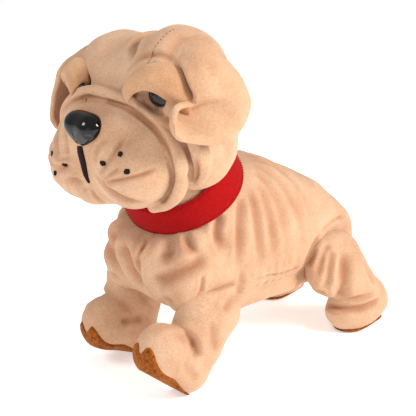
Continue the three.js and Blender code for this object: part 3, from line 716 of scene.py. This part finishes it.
def crease_head(work):
    """The folds and seams of the head."""
    crown = [(-1, -54, 246), (-1, -64, 241), (0, -74, 236), (9, -84, 234), (15, -91, 228)]
    work.line(crown, 4.0, 3.0, 1.0, (0.0, 0.3))
    # the ring round the muzzle stands up between its two creases
    ring_top = [(-2, -106, 210), (12, -102, 209), (24, -98, 205), (36, -94, 199), (45, -89, 190)]
    ring_side = [(50, -87, 180), (52, -84, 168), (52, -85, 156), (47, -88, 146), (38, -90, 139)]
    inner = [(-47, -93, 158), (-47, -97, 170), (-42, -102, 182), (-34, -107, 192), (-24, -108, 199),
             (-12, -108, 204), (0, -106, 206), (12, -104, 205), (23, -101, 203), (33, -97, 197),
             (42, -94, 190), (48, -92, 181), (50, -90, 170), (50, -89, 158), (44, -90, 146), (36, -96, 142)]
    outer = [(-51, -86, 160), (-51, -89, 174), (-47, -95, 187), (-38, -100, 198), (-27, -103, 206),
             (-14, -104, 211), (0, -102, 213), (12, -100, 213), (23, -95, 210), (33, -92, 205),
             (43, -90, 200), (48, -85, 193), (51, -81, 183), (52, -77, 169), (54, -82, 160), (51, -84, 150)]
    work.line(ring_top + ring_side, -1.8, 4.0, 0.0, (0.0, 0.1))
    work.line(inner, 3.4, 1.7, 0.5, (0.06, 0.06))
    work.line(outer, 3.0, 2.0, 0.5, (0.06, 0.08))
    # the seam above each brow, and the side panel that lies a little deeper beside the stitched seam
    work.pair([(12, -96, 222), (20, -93, 232), (34, -88, 237), (47, -80, 232)], 2.0, 2.2, 0.6, right=0.4)
    work.line([(38, -66, 249), (41, -79, 242), (44, -88, 233)], 1.8, 4.5, 0.6)
    work.pair([(60, -72, 184), (58, -75, 176), (57, -74, 166), (51, -71, 154)], 1.8, 1.3, 0.7)
    work.pair([(60, -52, 182), (58, -46, 170), (54, -42, 157)], 1.5, 4.0, 0.5)
    # creases that run out from the corners of the mouth
    lip = [(18, -124, 159), (27, -123, 160), (37, -118, 163), (44, -109, 166), (48, -97, 170)]
    work.pair(lip, 1.9, 1.6, 0.7)
    work.pair([(19, -124, 163), (25, -122, 171), (30, -118, 179), (32, -110, 190)], 1.7, 1.9, 0.6)
    work.pair([(24, -117, 188), (17, -121, 180), (14, -123, 173), (13, -123, 168)], 1.4, 1.8, 0.5)
    work.pair([(22, -123, 160), (29, -122, 165), (35, -118, 171)], 1.3, 1.3, 0.5)
    jowl = [(10, -122, 163), (18, -124, 159), (27, -121, 154), (35, -114, 149), (41, -102, 145)]
    work.pair(jowl, 2.4, 2.2, 0.8)
    work.line([(-8, -122, 168), (-20, -123, 164), (-34, -118, 161), (-44, -106, 160)], 1.4, 1.6, 0.6)
    work.line([(2, -121, 152), (-12, -121, 152), (-28, -117, 148), (-38, -108, 146)], 1.6, 1.8, 0.6)
    # puckers where the chin is gathered
    for x in (-20, -13, -6, 1, 8):
        work.line([(x * 0.7, -120, 150), (x, -117, 144), (x * 1.2, -110, 138)], 1.2, 1.2, 0.5)


head_skin = make_head()
head_surface = surface_of(head_skin)


NEAR_EAR = [
    [(34, -78, 233), (38, -71, 242), (41, -62, 246), (43, -54, 243), (43, -48, 238)],
    [(51, -83, 232), (55, -74, 237), (57, -65, 237), (56, -54, 233), (53, -45, 227)],
    [(60, -85, 223), (65, -76, 225), (66, -64, 225), (66, -52, 222), (63, -42, 216)],
    [(63, -83, 215), (67, -74, 216), (70, -63, 215), (71, -51, 212), (69, -41, 207)],
    [(62, -84, 211), (58, -77, 208), (65, -67, 208), (73, -56, 204), (73, -45, 201)],
    [(68, -100, 213), (55, -92, 205), (61, -80, 201), (74, -63, 197), (74, -49, 196)],
    [(73, -109, 207), (69, -102, 198), (72, -86, 192), (75, -67, 190), (74, -54, 191)],
    [(71, -107, 198), (71, -99, 191), (72, -84, 187), (74, -69, 185), (72, -57, 187)],
]
FAR_EAR = [
    [(-36, -70, 219), (-40, -62, 226), (-44, -55, 229), (-46, -48, 227), (-47, -42, 221)],
    [(-50, -80, 219), (-54, -71, 223), (-58, -59, 224), (-58, -49, 221), (-56, -41, 216)],
    [(-57, -92, 212), (-62, -82, 215), (-66, -67, 216), (-67, -53, 213), (-65, -42, 208)],
    [(-58, -97, 202), (-64, -86, 205), (-70, -70, 205), (-72, -56, 203), (-71, -44, 200)],
    [(-58, -101, 190), (-65, -90, 192), (-71, -74, 193), (-74, -58, 192), (-74, -47, 190)],
    [(-58, -102, 179), (-65, -91, 181), (-71, -75, 183), (-73, -60, 183), (-73, -50, 183)],
    [(-57, -98, 171), (-64, -88, 173), (-69, -75, 175), (-71, -62, 177), (-71, -54, 179)],
]


def add_ear(name, rows):
    """A soft double-layer ear hanging from the top of the head."""
    piece = sewn_flap(name + "_flap", rows, 4.0, EAR_PLUSH)
    work = Sculpt(piece)
    work.lumps(0.3, 18, 11)
    work.done()
    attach(piece, "head")
    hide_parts(name)
    return piece


FAR_BROW_CENTRE = np.array([-36.0, -94.0, 214.0])
FAR_BROW_SIZE = 0.86
FAR_BROW_DROOP = np.array([4.5, -4.0, -8.0])


def add_brow(side):
    """A visor of velour folded out over the eye, with a rolled lip along its free edge."""
    rows = [
        [(28, -92, 216), (33, -88, 227), (41, -82, 231), (49, -76, 227), (54, -70, 217)],
        [(27, -98, 219), (32, -97, 229), (43, -92, 232), (53, -85, 226), (59, -77, 214)],
        [(25, -107, 215), (31, -106, 224), (43, -102, 226), (55, -94, 218), (61, -83, 206)],
        [(28, -106, 208), (33, -105, 215), (43, -101, 218), (54, -91, 210), (59, -80, 200)],
    ]
    rows = np.array(rows, float) * np.array([side, 1.0, 1.0])
    if side < 0:
        rows = FAR_BROW_CENTRE + (rows - FAR_BROW_CENTRE) * FAR_BROW_SIZE + FAR_BROW_DROOP
    rows = rows.tolist()
    name = "brow_fold_left" if side > 0 else "brow_fold_right"
    piece = sewn_flap(name + "_hood", rows, 3.6, HOOD_PLUSH)
    work = Sculpt(piece)
    work.lumps(0.2, 12, 17)
    work.done()
    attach(piece, "head")
    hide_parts(name)
    return piece


def add_eye(side):
    """A domed plastic eye with a thin flange behind it."""
    centre = (39, -89, 213) if side > 0 else (-36, -86, 203)
    flange = (centre[0], centre[1] + 3.5, centre[2])
    form = Form()
    form.join(ball(centre, (8.2, 7.0, 8.2)))
    form.join(ball(flange, (8.7, 2.2, 8.7)), 0.6)
    low = np.array(centre) - 9.5
    name = "eye_left" if side > 0 else "eye_right"
    piece = skin(name + "_dome", form, low, low + 19, 0.8, GLOSS)
    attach(piece, "head")
    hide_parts(name)


def add_nose():
    """A moulded nose: broad and rounded above, narrow below, with nostril dimples and a grooved lip."""
    form = Form()
    form.join(ball((0, -119, 191), (14.6, 9.2, 8.4)))
    form.join_pair(ball((6.8, -119.5, 190), (8.2, 9.0, 8.2)), 3)
    form.join(ball((0, -118, 184), (8.5, 8.5, 8.0)), 5)
    form.carve(roll([(0, -129, 187, 0.6), (0, -128, 181, 1.3), (0, -121, 175, 1.6)]), 1.6)
    form.carve(ball((12.5, -127.5, 186), (2.2, 3.5, 1.6)), 2.0)
    form.carve(ball((-12.5, -127.5, 186), (2.2, 3.5, 1.6)), 2.0)
    piece = skin("nose_moulding", form, (-17, -131, 172), (17, -106, 202), 0.8, GLOSS)
    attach(piece, "head")
    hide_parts("nose")


WHISKER_SPOTS = [(22, -123, 171), (33, -118, 179), (38, -116, 168),
                 (-17, -123, 160), (-27, -122, 166), (-26, -121, 153)]


def add_thread_pieces():
    """Embroidery on the head: the mouth line in satin stitch, and the whisker spots."""
    narrow, swell = 0.6, 2.3                # half width of the mouth line at its ends, and what it gains
    rows, row_gap, spot_radius = 5, 0.66, 2.0
    ease = np.array([0.0, -0.2, 0.0])       # eases the middle of each satin stitch outward
    satin = []
    mouth = smooth_path([(0.5, -124, 177), (1, -124, 169), (2.5, -123, 161), (5, -121, 154)], 8)
    for i, spot in enumerate(mouth):
        part = i / (len(mouth) - 1)
        half = narrow + swell * math.sin(math.pi * min(0.25 + 0.75 * part, 1.0)) ** 0.8
        left = laid_on(head_surface, spot - np.array([half, 0, 0.4]), 0.25)[0]
        right = laid_on(head_surface, spot + np.array([half, 0, 0.4]), 0.25)[0]
        middle = laid_on(head_surface, spot, 0.7)[0]
        satin.append([left, (left + middle) / 2 + ease, middle, (right + middle) / 2 + ease, right])
    vertices, faces = tube_along(satin, 0.75)
    line = new_piece("mouth_embroidery", vertices, faces, BLACK_THREAD)
    dots = []
    for place in WHISKER_SPOTS:
        spot, out = laid_on(head_surface, place)
        across = np.cross(out, (0.0, 0.0, 1.0))
        across /= np.linalg.norm(across)
        up = np.cross(across, out)
        for k in range(rows):
            drop = (k - rows // 2) * row_gap
            half = math.sqrt(max(spot_radius ** 2 - drop ** 2, 0.3))
            middle = spot + up * drop
            dots.append([middle - across * half, middle + out * 0.45, middle + across * half])
    vertices, faces = tube_along(dots, 0.45)
    spots = new_piece("whisker_embroidery", vertices, faces, BLACK_THREAD)
    for piece in (line, spots):
        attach(piece, "head")


def running_stitch(name, surface, points, length, gap, radius, finish, body):
    """Separate stitches laid along a seam."""
    path = smooth_path(points, 12)
    steps = np.concatenate([[0.0], np.cumsum(np.linalg.norm(np.diff(path, axis=0), axis=1))])
    stitches = []
    start = gap
    while start + length < steps[-1]:
        spots = [np.array([np.interp(start + length * t, steps, path[:, i]) for i in range(3)])
                 for t in (0.0, 0.5, 1.0)]
        lifts = (-0.2, 0.25, -0.2)
        stitches.append([laid_on(surface, spot, lift)[0] for spot, lift in zip(spots, lifts)])
        start += length + gap
    vertices, faces = tube_along(stitches, radius, 6)
    piece = new_piece(name, vertices, faces, finish)
    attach(piece, body)


# ---------------------------------------------------------------- collar and neck

COLLAR_CENTRE = np.array([0.0, -42.0, 138.0])
COLLAR_AXIS = np.array([0.0, -0.58, 0.81]) / np.linalg.norm([0.0, -0.58, 0.81])
COLLAR_ACROSS = np.array([1.0, 0.0, 0.0])
COLLAR_ALONG = np.cross(COLLAR_AXIS, COLLAR_ACROSS)


COLLAR_WIDE = 43.5    # half width and half depth of the collar's inner face
COLLAR_DEEP = 36.5
COLLAR_FLARE = 0.006  # how much smaller it gets with each millimetre of height
COLLAR_WAVE = 0.05    # the felt's slight waviness for each millimetre of height


def collar_spot(angle, height, out):
    """A place on the collar: round it, up its width, and outward from its inner face."""
    flare = 1.0 - COLLAR_FLARE * height
    wide = (COLLAR_WIDE + out) * flare
    deep = (COLLAR_DEEP + out) * flare
    wave = COLLAR_WAVE * math.sin(3 * angle + 0.6) * height
    return (COLLAR_CENTRE + COLLAR_AXIS * (height + wave)
            + COLLAR_ACROSS * wide * math.cos(angle) + COLLAR_ALONG * deep * math.sin(angle))


def add_collar():
    """A strip of thick felt sewn into a ring, flaring a little over the shoulders."""
    half = 10.5
    thick = 2.4
    section = [(-half + 0.6, 0), (0, 0), (half - 0.6, 0), (half, thick * 0.5), (half - 0.6, thick),
               (0, thick * 1.05), (-half + 0.6, thick), (-half, thick * 0.5)]
    turns = 72
    vertices = [collar_spot(2 * math.pi * i / turns, height, out)
                for i in range(turns) for height, out in section]
    count = len(section)
    faces = []
    for i in range(turns):
        for k in range(count):
            a = i * count + k
            b = i * count + (k + 1) % count
            c = (i + 1) % turns * count + (k + 1) % count
            d = (i + 1) % turns * count + k
            faces.append((a, d, c, b))
    piece = new_piece("collar_band", vertices, faces, COLLAR_FELT)
    refine(piece)
    stitches = []
    seam = 8.6
    around = 110
    for height in (-seam, seam):
        for i in range(around):
            start = 2 * math.pi * (i + 0.2) / around
            end = 2 * math.pi * (i + 0.75) / around
            stitches.append([collar_spot(a, height, thick + lift)
                             for a, lift in ((start, -0.1), ((start + end) / 2, 0.22), (end, -0.1))])
    vertices, faces = tube_along(stitches, 0.3, 6)
    thread = new_piece("collar_stitching", vertices, faces, RED_THREAD)
    for part in (piece, thread):
        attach(part, "torso")
    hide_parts("collar")


# ---------------------------------------------------------------- body

TORSO = [(-83.5, 94, 0, 0), (-80, 94, 19, 20), (-71, 93, 33, 33), (-57, 92, 43, 42), (-35, 94, 46.5, 49.5),
         (-7, 96.5, 46.5, 53), (22, 93, 46.5, 49.5), (48, 88, 41.5, 42.5), (76, 78, 37, 36.5),
         (96, 69, 33, 31), (111, 63, 24, 23), (119, 61, 13, 13.5), (122, 61, 0, 0)]


COLLAR_LOWER_EDGE = np.array([0.0, -36.0, 130.0])
TUCK = 1.5    # the coat ends this far below the collar's lower edge, where the neck inside the collar goes on


def above_collar(points):
    """How far points lie above the plane of the collar's lower edge."""
    return (points - COLLAR_LOWER_EDGE) @ COLLAR_AXIS


def torso_form():
    """A barrel with full flanks at the front, a neck inside the collar, and a rimmed battery opening."""
    form = Form()
    form.join(loft(TORSO, 2.6))
    form.join_pair(ball((32, -56, 78), (15, 22, 26)), 10)
    form.carve(lambda points: -above_collar(points) - TUCK, 5.0)
    form.join_pair(limb((6, -28, 118.5), (6, -46.5, 144.5), 37, 32.5), 2)
    form.join_pair(roll([(26.5, -34, 47, 5.5), (26.5, 15, 45.5, 5.5), (26.5, 66, 47, 5.5)]), 6)
    form.carve(box((-20.5, -29, 20), (20.5, 61, 50), 1.5), 1.2)
    return form


def add_torso():
    """The coat of the body."""
    piece = skin("torso_skin", torso_form(), (-56, -92, 30), (56, 128, 176), 2.0, PLUSH)
    work = Sculpt(piece)
    crease_torso(work)
    work.lumps(0.5, 34, 3)
    work.done()
    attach(piece, "torso")
    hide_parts("torso_plush")


PLEATS = [
    [(42, -20, 134), (46, -27, 112), (47, -28, 92), (45, -28, 75)],
    [(38, -12, 136), (46, -11, 110), (46, -8, 88), (45, -8, 70)],
    [(34, -5, 139), (45, 1, 112), (46, 5, 90), (45, 6, 72)],
    [(29, 0, 143), (36, 6, 132), (45, 12, 111), (47, 18, 91), (44, 21, 68)],
    [(23, 5, 146), (31, 16, 135), (43, 26, 116), (44, 36, 91), (40, 40, 64)],
    [(16, 8, 146), (25, 30, 134), (39, 44, 111), (42, 52, 90)],
    [(9, 10, 147), (15, 34, 139), (28, 58, 120)],
]


def crease_torso(work):
    """Pleats that fan out from the collar, gathers along the belly, chest folds and seams."""
    for i, pleat in enumerate(PLEATS):
        depth = 2.7 / (1.0 + 0.3 * i)    # the pleats grow shallower toward the back
        work.pair(pleat, depth, 3.6, depth * 0.45, (0.15, 0.5))
    belly = [(45, -30, 66), (44, -13, 67), (42, 8, 65), (39, 32, 62), (38, 46, 62)]
    work.pair(belly, 1.4, 1.8, 0.6)
    # short gathers across the belly seam; each is its place along the body and how much it leans
    for y, lean in ((-24, 1), (-15, 4), (-9, 2), (0, 5), (8, 2), (14, 4), (22, 1), (31, 4), (38, 2)):
        work.pair([(46, y, 80 - lean), (44, y + lean, 66), (38, y + 4, 55)], 1.0, 2.4, 0.5)
    centre_seam = [(3, -70, 108), (7, -81, 92), (8, -80, 76), (13, -74, 62), (20, -64, 52)]
    work.line(centre_seam, 2.2, 1.7, 1.0, (0.0, 0.2))
    work.line([(-17, -80, 98), (-6, -83, 90), (1, -81, 79), (9, -76, 66)], 4.2, 4.5, 1.4)
    work.line([(-30, -72, 102), (-30, -78, 90), (-24, -80, 80), (-16, -78, 68)], 2.4, 4.5, 0.8)
    work.pair([(22, -70, 112), (27, -74, 103), (25, -79, 91)], 6.0, 5.5, 1.8, (0.0, 0.4), 0.4)
    work.pair([(31, -64, 113), (38, -65, 105), (44, -60, 98)], 4.0, 3.2, 1.4, (0.0, 0.4), 0.4)
    work.pair([(41, -42, 120), (43, -45, 109), (46, -41, 97)], 3.4, 2.8, 1.3, (0.0, 0.4), 0.5)
    work.pair([(47, -54, 99), (42, -70, 91), (30, -78, 83), (19, -78, 75)], 4.6, 4.2, 1.8, (0.2, 0.2), 0.5)
    work.pair([(47, -62, 88), (47, -62, 76), (44, -66, 66)], 2.0, 1.6, 0.8)
    work.pair([(34, -74, 70), (24, -76, 62), (12, -70, 52)], 3.0, 3.5, 1.2, (0.2, 0.2), 0.6)
    work.pair([(40, 58, 84), (37, 77, 88), (30, 93, 86)], 1.8, 1.3, 0.8)
    work.pair([(36, 44, 60), (40, 50, 74), (43, 60, 83)], 2.6, 2.8, 1.0)


def add_neck():
    """The gusset that joins the head to the collar opening."""
    form = Form()
    form.join_pair(limb((6, -38, 132), (6, -50, 158), 33, 31))
    piece = skin("neck_gusset", form, (-40, -86, 94), (40, 2, 194), 2.5, PLUSH)
    Sculpt(piece).done()
    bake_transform(piece)


# ---------------------------------------------------------------- legs

FRONT_HIP = (-61.0, 68.0)
FRONT_LEAN = 9.0
SOLE_TILT = math.radians(29.5)


def front_leg_form():
    """A front leg in its middle pose: thigh, shin, and a foot that stands on its heel with its toes up."""
    form = Form()
    form.join(ball((40, -47, 56), (16.5, 25, 25), 12))
    form.join(ball((39, -54, 38), (16.5, 20, 24), 20), 6)
    form.join(ball((37, -61, 18), (16, 17.5, 18)), 6)
    form.join(limb((37, -63, 17), (36, -84, 31), 15.4, 16.6), 6)
    form.join(ball((36, -84, 34), (16, 15, 17)), 5)
    return form


def sole_height(points):
    """The height of each point above the sole's plane in the middle pose, and how far forward it lies."""
    forward = -(points[:, 1] - FRONT_HIP[0])
    above = points[:, 2] - (FRONT_HIP[1] - 68.85)
    height = above * math.cos(SOLE_TILT) - forward * math.sin(SOLE_TILT)
    reach = forward * math.cos(SOLE_TILT) + above * math.sin(SOLE_TILT)
    return height, reach


PAD_CLOTH_DEPTH = 1.4   # the leg's skin stops this far above the ground, inside the pad
PAD_PROUD = 1.2         # and the pad stands this far out of the skin

# the outline of a front pad, which climbs over the toes to a notched edge and drops at the foot's sides
FOOT_MIDDLE = 36.0
FOOT_HALF_WIDTH = 16.0
TOE_START = 6.0
TOE_LENGTH = 20.0
TOE_RISE = 16.0
SOLE_EDGE = 1.6
NOTCH_DEPTH = 8.0
NOTCH_WIDTH = 3.2
SKIRT_START = 9.0
SKIRT_DROP = 4.0

# each fold is its points on the left leg in the middle pose, its depth, half width and lips
FRONT_LEG_FOLDS = [
    ([(47, -62, 74), (48, -45, 77), (43, -27, 75), (42, -15, 71)], 1.8, 1.8, 0.6),
    ([(40, -21, 69), (52, -41, 68), (57, -50, 60)], 1.8, 3.2, 0.8),
    ([(38, -70, 50), (47, -69, 44), (53, -68, 36), (54, -66, 29)], 4.0, 2.8, 1.2),
    ([(40, -90, 56), (48, -88, 53), (50, -78, 47), (48, -70, 43)], 2.8, 3.2, 1.2),
    ([(20, -84, 40), (20, -72, 36), (22, -60, 30)], 2.2, 2.8, 0.8),
    ([(24, -58, 48), (26, -52, 36), (30, -44, 26)], 1.8, 2.8, 0.6),
    ([(57, -60, 56), (57, -56, 44), (55, -50, 32)], 1.6, 3.4, 0.6),
    ([(52, -78, 30), (53, -72, 22), (52, -62, 14)], 1.0, 3.0, 0.5),
]


def add_leg(kind, side, skin_form, pad_form, folds, low, high, pad_high, seed):
    """A leg's skin and its pad. The forms are for this side;
    the corners of the boxes and the folds are for the left one."""
    name = "left" if side > 0 else "right"
    body = name + "_" + kind + "_leg"
    flip = np.array([side, 1.0, 1.0])
    inner, outer = sorted((low[0] * side, high[0] * side))
    low = (inner, *low[1:])
    piece = skin(kind + "_leg_skin_" + name, skin_form, low, (outer, *high[1:]), 1.6, PLUSH)
    work = Sculpt(piece)
    for points, depth, width, lip in folds:
        work.line(np.array(points, float) * flip, depth, width, lip)
    work.lumps(0.4, 24, seed + side)
    work.done()
    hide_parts(kind + "_leg_plush_" + name)
    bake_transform(piece)
    pad = skin(kind + "_pad_" + name, pad_form, low, (outer, *pad_high), 1.4, PAD)
    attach(pad, body)
    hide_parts(kind + "_paw_pad_" + name)


def add_front_leg(side, lean):
    """A front leg, turned by its lean about the hip."""
    leg = front_leg_form()

    def unturned(points):
        return turned_points(points * np.array([side, 1.0, 1.0]), FRONT_HIP, lean)

    def skin_form(points):
        local = unturned(points)
        height, _ = sole_height(local)
        return -smooth_min(-leg(local), height - PAD_CLOTH_DEPTH, 2.0)

    def pad_form(points):
        local = unturned(points)
        height, reach = sole_height(local)
        across = local[:, 0] - FOOT_MIDDLE
        toe = np.clip((reach - TOE_START) / TOE_LENGTH, 0.0, 1.0)
        notch = NOTCH_DEPTH * np.exp(-(across / NOTCH_WIDTH) ** 2) * toe
        skirt = SKIRT_DROP * np.clip((np.abs(across) - SKIRT_START) / SKIRT_DROP, 0.0, 1.0)
        dome = 1.0 - 0.7 * np.abs(across / FOOT_HALF_WIDTH) ** 2
        edge = SOLE_EDGE + TOE_RISE * toe * dome - notch - skirt
        return np.maximum(np.maximum(leg(local) - PAD_PROUD, -height), height - edge)

    folds = [(turned_points(np.array(points, float), FRONT_HIP, -lean), *sizes)
             for points, *sizes in FRONT_LEG_FOLDS]
    add_leg("front", side, skin_form, pad_form, folds, (14, -120, -2), (62, -12, 82), (-60, 50),
            21)


def rear_leg_form():
    """A rear leg: a broad thigh, a shin that slopes back, and a foot flat on the ground."""
    form = Form()
    form.join(ball((40, 73, 57), (13, 26, 24), -10))
    form.join(limb((40, 80, 50), (41, 104, 24), 18.5, 16), 8)
    form.join(limb((41, 110, 17), (41, 92, 15), 16.5, 16), 6)
    form.join(ball((41, 95, 16), (16, 23, 16)), 5)
    return form


REAR_LEG_FOLDS = [
    ([(38, 48, 60), (43, 50, 74), (46, 60, 84)], 2.4, 2.8, 1.0),
    ([(44, 51, 54), (47, 54, 68), (46, 62, 78)], 2.0, 2.4, 0.9),
    ([(46, 58, 42), (50, 58, 60), (49, 62, 74)], 2.0, 2.6, 0.9),
    ([(54, 72, 72), (55, 68, 56), (52, 70, 40), (46, 76, 28)], 3.4, 4.2, 1.2),
    ([(30, 76, 21), (44, 74, 22), (55, 84, 22), (58, 95, 23), (58, 108, 25)], 3.2, 2.4, 1.2),
    ([(48, 78, 31), (56, 88, 30), (58, 100, 32)], 1.6, 2.4, 0.7),
    ([(36, 54, 44), (44, 58, 38), (50, 64, 34)], 1.8, 2.2, 0.8),
    ([(56, 92, 62), (56, 96, 48), (56, 104, 36)], 1.4, 3.6, 0.6),
]


def add_rear_leg(side):
    """A rear leg, with a flat sole whose pad rises a little toward the heel."""
    leg = rear_leg_form()
    flip = np.array([side, 1.0, 1.0])

    def skin_form(points):
        local = points * flip
        return -smooth_min(-leg(local), local[:, 2] - PAD_CLOTH_DEPTH, 2.0)

    def pad_form(points):
        local = points * flip
        edge = 3.5 + 2.5 * np.clip((local[:, 1] - 92) / 30, -1.0, 1.0)
        return np.maximum(np.maximum(leg(local) - PAD_PROUD, -local[:, 2]), local[:, 2] - edge)

    add_leg("rear", side, skin_form, pad_form, REAR_LEG_FOLDS, (18, 34, -2), (62, 134, 92), (134, 14),
            31)


def add_tail():
    """A short hanging tail."""
    form = Form()
    form.join(roll([(0, 108, 78, 7), (0, 119, 70, 6.5), (0, 122.5, 58, 6), (0, 122.5, 44, 5.4)]))
    piece = skin("tail_skin", form, (-10, 98, 34), (10, 132, 90), 1.4, PLUSH)
    Sculpt(piece).done()
    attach(piece, "tail")
    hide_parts("tail_plush")


add_ear("ear_left", NEAR_EAR)
add_ear("ear_right", FAR_EAR)
for side in (1, -1):
    add_brow(side)
    add_eye(side)
add_nose()
add_thread_pieces()
running_stitch("forehead_stitching", head_surface,
               [(30, -68, 250), (31, -84, 244), (32, -94, 234), (32, -97, 226)],
               1.6, 1.4, 0.28, TAN_THREAD, "head")
add_collar()
add_torso()
add_neck()
add_front_leg(1, -FRONT_LEAN)
add_front_leg(-1, FRONT_LEAN)
add_rear_leg(1)
add_rear_leg(-1)
add_tail()


# ---------------------------------------------------------------- finishes on the hard parts

SLOT_FINISHES = {
    "plush": PLUSH, "felt": COLLAR_FELT, "pad_cloth": PAD, "gloss_black": GLOSS, "stuffing": PLUSH,
    "case_plastic": CASE, "gear_plastic": GEAR_PLASTIC, "steel": STEEL, "brass": BRASS, "board": BOARD,
    "dark_plastic": DARK_PLASTIC, "cell_sleeve": CELL,
}
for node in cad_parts.values():
    for place in node.material_slots:
        place.material = SLOT_FINISHES[place.material.name.split(".")[0]]
